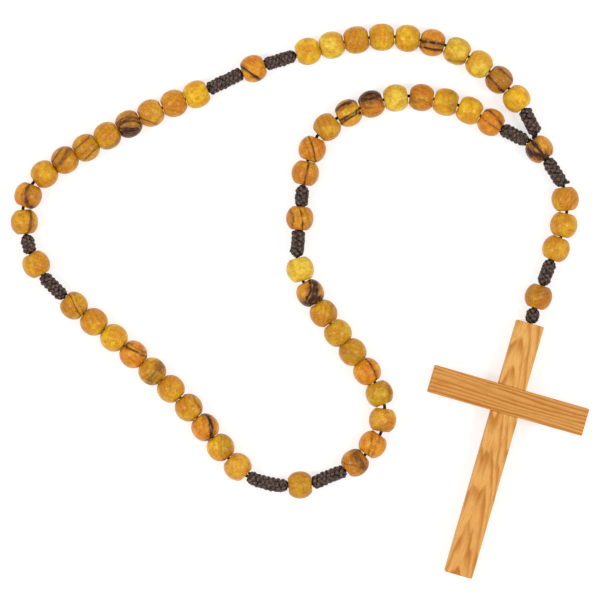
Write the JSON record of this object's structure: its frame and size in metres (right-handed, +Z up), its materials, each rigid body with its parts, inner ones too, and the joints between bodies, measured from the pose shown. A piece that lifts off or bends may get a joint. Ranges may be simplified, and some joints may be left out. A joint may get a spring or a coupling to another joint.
{
  "type": "corded rosary",
  "caption": "Wooden-bead rosary on a knotted dark cord, laid out flat: a closed loop of beads, a short drop and a plain lap-jointed wooden cross.",
  "frame": {"origin": "on the table, under the middle of the outline that the rosary covers as it lies", "axes": "+Z up from the table, +X to the side with the drop and the cross, +Y to the top of the loop; the cross's upright leans 16 degrees from -Y"},
  "size_m": [0.1734, 0.1665, 0.0083],
  "materials": {
    "olive_wood": "polished golden olive wood with fine brown grain",
    "dark_olive_wood": "polished olive wood with dark brown grain",
    "sleeve_cord": "knotted waxed cord, very dark brown",
    "core_cord": "plain twisted cord, very dark brown",
    "cross_wood": "smooth light honey-coloured wood, long grain on each bar"
  },
  "bodies": {
    "loop_left": {"core_cord_left": "core_cord", "core_cord_inner": "core_cord", "cord_sleeve_2": "sleeve_cord", "cord_sleeve_3": "sleeve_cord", "cord_sleeve_8": "sleeve_cord", "cord_sleeve_9": "sleeve_cord", "decade_2_beads": "olive_wood"},
    "loop_right": {"core_cord_top": "core_cord", "core_cord_right": "core_cord", "cord_sleeve_1": "sleeve_cord", "cord_sleeve_10": "sleeve_cord"},
    "loop_lower": {"core_cord_lower": "core_cord", "cord_sleeve_4": "sleeve_cord", "cord_sleeve_5": "sleeve_cord", "cord_sleeve_6": "sleeve_cord", "cord_sleeve_7": "sleeve_cord", "decade_3_beads": "olive_wood", "decade_4_beads": "olive_wood"},
    "upper_drop_sleeve": {"cord_sleeve_11": "sleeve_cord", "drop_cord_1": "core_cord"},
    "drop_beads_cord": {"drop_cord_2": "core_cord"},
    "middle_drop_sleeve": {"cord_sleeve_12": "sleeve_cord", "drop_cord_3": "core_cord"},
    "fifth_single_cord": {"drop_cord_4": "core_cord"},
    "lower_drop_sleeve": {"cord_sleeve_13": "sleeve_cord", "drop_cord_5": "core_cord"},
    "cross": {"cross_upright": "cross_wood", "cross_arm": "cross_wood", "cross_cord_end": "core_cord"},
    "centre_bead": {"centre_bead": "dark_olive_wood"},
    "our_father_bead_1": {"our_father_bead_1": "dark_olive_wood"},
    "our_father_bead_2": {"our_father_bead_2": "dark_olive_wood"},
    "our_father_bead_3": {"our_father_bead_3": "dark_olive_wood"},
    "our_father_bead_4": {"our_father_bead_4": "dark_olive_wood"},
    "our_father_bead_5": {"our_father_bead_5": "dark_olive_wood"},
    "drop_bead_1": {"drop_bead_1": "olive_wood"},
    "drop_bead_2": {"drop_bead_2": "olive_wood"},
    "drop_bead_3": {"drop_bead_3": "olive_wood"},
    "decade_1_bead_1": {"decade_1_bead_1": "olive_wood"},
    "decade_1_bead_2": {"decade_1_bead_2": "olive_wood"},
    "decade_1_bead_3": {"decade_1_bead_3": "olive_wood"},
    "decade_1_bead_4": {"decade_1_bead_4": "olive_wood"},
    "decade_1_bead_5": {"decade_1_bead_5": "olive_wood"},
    "decade_1_bead_6": {"decade_1_bead_6": "olive_wood"},
    "decade_1_bead_7": {"decade_1_bead_7": "olive_wood"},
    "decade_1_bead_8": {"decade_1_bead_8": "olive_wood"},
    "decade_1_bead_9": {"decade_1_bead_9": "olive_wood"},
    "decade_1_bead_10": {"decade_1_bead_10": "olive_wood"},
    "decade_5_bead_1": {"decade_5_bead_1": "olive_wood"},
    "decade_5_bead_2": {"decade_5_bead_2": "olive_wood"},
    "decade_5_bead_3": {"decade_5_bead_3": "olive_wood"},
    "decade_5_bead_4": {"decade_5_bead_4": "olive_wood"},
    "decade_5_bead_5": {"decade_5_bead_5": "olive_wood"},
    "decade_5_bead_6": {"decade_5_bead_6": "olive_wood"},
    "decade_5_bead_7": {"decade_5_bead_7": "olive_wood"},
    "decade_5_bead_8": {"decade_5_bead_8": "olive_wood"},
    "decade_5_bead_9": {"decade_5_bead_9": "olive_wood"},
    "decade_5_bead_10": {"decade_5_bead_10": "olive_wood"}
  },
  "joints": [
    {"name": "cross_swing", "type": "hinge", "parent": "lower_drop_sleeve", "child": "cross", "pos_m": [0.069, -0.007, 0.00415], "axis": [0, 0, 1], "range_deg": [-6, 35]},
    {"name": "cross_lift", "type": "hinge", "parent": "fifth_single_cord", "child": "lower_drop_sleeve", "pos_m": [0.07041, -0.00246, 0.00415], "axis": [-0.9551, 0.2961, 0], "range_deg": [0, 40]},
    {"name": "drop_lift", "type": "hinge", "parent": "loop_right", "child": "upper_drop_sleeve", "pos_m": [0.07392, 0.04229, 0.00415], "axis": [-0.8415, -0.5402, 0], "range_deg": [0, 40]},
    {"name": "drop_swing", "type": "hinge", "parent": "upper_drop_sleeve", "child": "drop_beads_cord", "pos_m": [0.07905, 0.03429, 0.00415], "axis": [0, 0, 1], "range_deg": [-4, 60]},
    {"name": "drop_middle_lift", "type": "hinge", "parent": "drop_beads_cord", "child": "middle_drop_sleeve", "pos_m": [0.07538, 0.01201, 0.00415], "axis": [-0.9391, 0.3435, 0], "range_deg": [0, 45]},
    {"name": "drop_middle_swing", "type": "hinge", "parent": "middle_drop_sleeve", "child": "fifth_single_cord", "pos_m": [0.07261, 0.00445, 0.00415], "axis": [0, 0, 1], "range_deg": [-4, 40]},
    {"name": "loop_right_fold", "type": "hinge", "parent": "loop_left", "child": "loop_right", "pos_m": [0.00085, 0.03439, 0.00415], "axis": [0.0538, -0.9986, 0], "range_deg": [0, 45]},
    {"name": "loop_lower_fold", "type": "hinge", "parent": "loop_left", "child": "loop_lower", "pos_m": [-0.0823, 0.01956, 0.00415], "axis": [-0.9967, 0.0806, 0], "range_deg": [0, 45]},
    {"name": "spin_centre_bead", "type": "hinge", "parent": "loop_right", "child": "centre_bead", "pos_m": [0.0718, 0.0452, 0.00415], "axis": [0.5878, -0.809, 0], "continuous": true},
    {"name": "spin_our_father_bead_1", "type": "hinge", "parent": "loop_left", "child": "our_father_bead_1", "pos_m": [-0.01395, 0.06942, 0.00415], "axis": [-0.9362, -0.3516, 0], "continuous": true},
    {"name": "spin_our_father_bead_2", "type": "hinge", "parent": "loop_lower", "child": "our_father_bead_2", "pos_m": [-0.07914, 0.0107, 0.00415], "axis": [0.488, -0.8729, 0], "continuous": true},
    {"name": "spin_our_father_bead_3", "type": "hinge", "parent": "loop_lower", "child": "our_father_bead_3", "pos_m": [0.00002, -0.05548, 0.00415], "axis": [0.9959, 0.0904, 0], "continuous": true},
    {"name": "spin_our_father_bead_4", "type": "hinge", "parent": "loop_left", "child": "our_father_bead_4", "pos_m": [-0.00006, 0.02451, 0.00415], "axis": [0.0909, 0.9959, 0], "continuous": true},
    {"name": "spin_our_father_bead_5", "type": "hinge", "parent": "fifth_single_cord", "child": "our_father_bead_5", "pos_m": [0.0715, 0.00098, 0.00415], "axis": [-0.3041, -0.9526, 0], "continuous": true},
    {"name": "spin_drop_bead_1", "type": "hinge", "parent": "drop_beads_cord", "child": "drop_bead_1", "pos_m": [0.07954, 0.03026, 0.00415], "axis": [0.1199, -0.9928, 0], "continuous": true},
    {"name": "spin_drop_bead_2", "type": "hinge", "parent": "drop_beads_cord", "child": "drop_bead_2", "pos_m": [0.0791, 0.02249, 0.00415], "axis": [-0.2302, -0.9731, 0], "continuous": true},
    {"name": "spin_drop_bead_3", "type": "hinge", "parent": "drop_beads_cord", "child": "drop_bead_3", "pos_m": [0.07678, 0.01536, 0.00415], "axis": [-0.3861, -0.9224, 0], "continuous": true},
    {"name": "spin_decade_1_bead_1", "type": "hinge", "parent": "loop_right", "child": "decade_1_bead_1", "pos_m": [0.06499, 0.06032, 0.00415], "axis": [-0.5949, 0.8038, 0], "continuous": true},
    {"name": "spin_decade_1_bead_2", "type": "hinge", "parent": "loop_right", "child": "decade_1_bead_2", "pos_m": [0.05973, 0.06607, 0.00415], "axis": [-0.7481, 0.6635, 0], "continuous": true},
    {"name": "spin_decade_1_bead_3", "type": "hinge", "parent": "loop_right", "child": "decade_1_bead_3", "pos_m": [0.05375, 0.07078, 0.00415], "axis": [-0.8212, 0.5707, 0], "continuous": true},
    {"name": "spin_decade_1_bead_4", "type": "hinge", "parent": "loop_right", "child": "decade_1_bead_4", "pos_m": [0.04711, 0.07466, 0.00415], "axis": [-0.9004, 0.4351, 0], "continuous": true},
    {"name": "spin_decade_1_bead_5", "type": "hinge", "parent": "loop_right", "child": "decade_1_bead_5", "pos_m": [0.03968, 0.07721, 0.00415], "axis": [-0.9776, 0.2104, 0], "continuous": true},
    {"name": "spin_decade_1_bead_6", "type": "hinge", "parent": "loop_right", "child": "decade_1_bead_6", "pos_m": [0.03226, 0.07849, 0.00415], "axis": [-0.9914, 0.1311, 0], "continuous": true},
    {"name": "spin_decade_1_bead_7", "type": "hinge", "parent": "loop_right", "child": "decade_1_bead_7", "pos_m": [0.02453, 0.07883, 0.00415], "axis": [-0.999, -0.0438, 0], "continuous": true},
    {"name": "spin_decade_1_bead_8", "type": "hinge", "parent": "loop_right", "child": "decade_1_bead_8", "pos_m": [0.01692, 0.07801, 0.00415], "axis": [-0.9852, -0.1712, 0], "continuous": true},
    {"name": "spin_decade_1_bead_9", "type": "hinge", "parent": "loop_right", "child": "decade_1_bead_9", "pos_m": [0.00955, 0.07647, 0.00415], "axis": [-0.9713, -0.2379, 0], "continuous": true},
    {"name": "spin_decade_1_bead_10", "type": "hinge", "parent": "loop_right", "child": "decade_1_bead_10", "pos_m": [0.00233, 0.07458, 0.00415], "axis": [-0.9634, -0.268, 0], "continuous": true},
    {"name": "spin_decade_5_bead_1", "type": "hinge", "parent": "loop_right", "child": "decade_5_bead_1", "pos_m": [0.00159, 0.03803, 0.00415], "axis": [0.1995, 0.9799, 0], "continuous": true},
    {"name": "spin_decade_5_bead_2", "type": "hinge", "parent": "loop_right", "child": "decade_5_bead_2", "pos_m": [0.00367, 0.04523, 0.00415], "axis": [0.3532, 0.9355, 0], "continuous": true},
    {"name": "spin_decade_5_bead_3", "type": "hinge", "parent": "loop_right", "child": "decade_5_bead_3", "pos_m": [0.00812, 0.05184, 0.00415], "axis": [0.7363, 0.6766, 0], "continuous": true},
    {"name": "spin_decade_5_bead_4", "type": "hinge", "parent": "loop_right", "child": "decade_5_bead_4", "pos_m": [0.01458, 0.05609, 0.00415], "axis": [0.9121, 0.41, 0], "continuous": true},
    {"name": "spin_decade_5_bead_5", "type": "hinge", "parent": "loop_right", "child": "decade_5_bead_5", "pos_m": [0.02143, 0.05879, 0.00415], "axis": [0.9468, 0.3218, 0], "continuous": true},
    {"name": "spin_decade_5_bead_6", "type": "hinge", "parent": "loop_right", "child": "decade_5_bead_6", "pos_m": [0.02871, 0.0606, 0.00415], "axis": [0.9872, 0.1595, 0], "continuous": true},
    {"name": "spin_decade_5_bead_7", "type": "hinge", "parent": "loop_right", "child": "decade_5_bead_7", "pos_m": [0.03645, 0.06073, 0.00415], "axis": [0.9919, -0.1269, 0], "continuous": true},
    {"name": "spin_decade_5_bead_8", "type": "hinge", "parent": "loop_right", "child": "decade_5_bead_8", "pos_m": [0.04373, 0.05937, 0.00415], "axis": [0.9714, -0.2374, 0], "continuous": true},
    {"name": "spin_decade_5_bead_9", "type": "hinge", "parent": "loop_right", "child": "decade_5_bead_9", "pos_m": [0.05084, 0.05683, 0.00415], "axis": [0.9015, -0.4328, 0], "continuous": true},
    {"name": "spin_decade_5_bead_10", "type": "hinge", "parent": "loop_right", "child": "decade_5_bead_10", "pos_m": [0.05731, 0.05332, 0.00415], "axis": [0.854, -0.5202, 0], "continuous": true}
  ]
}
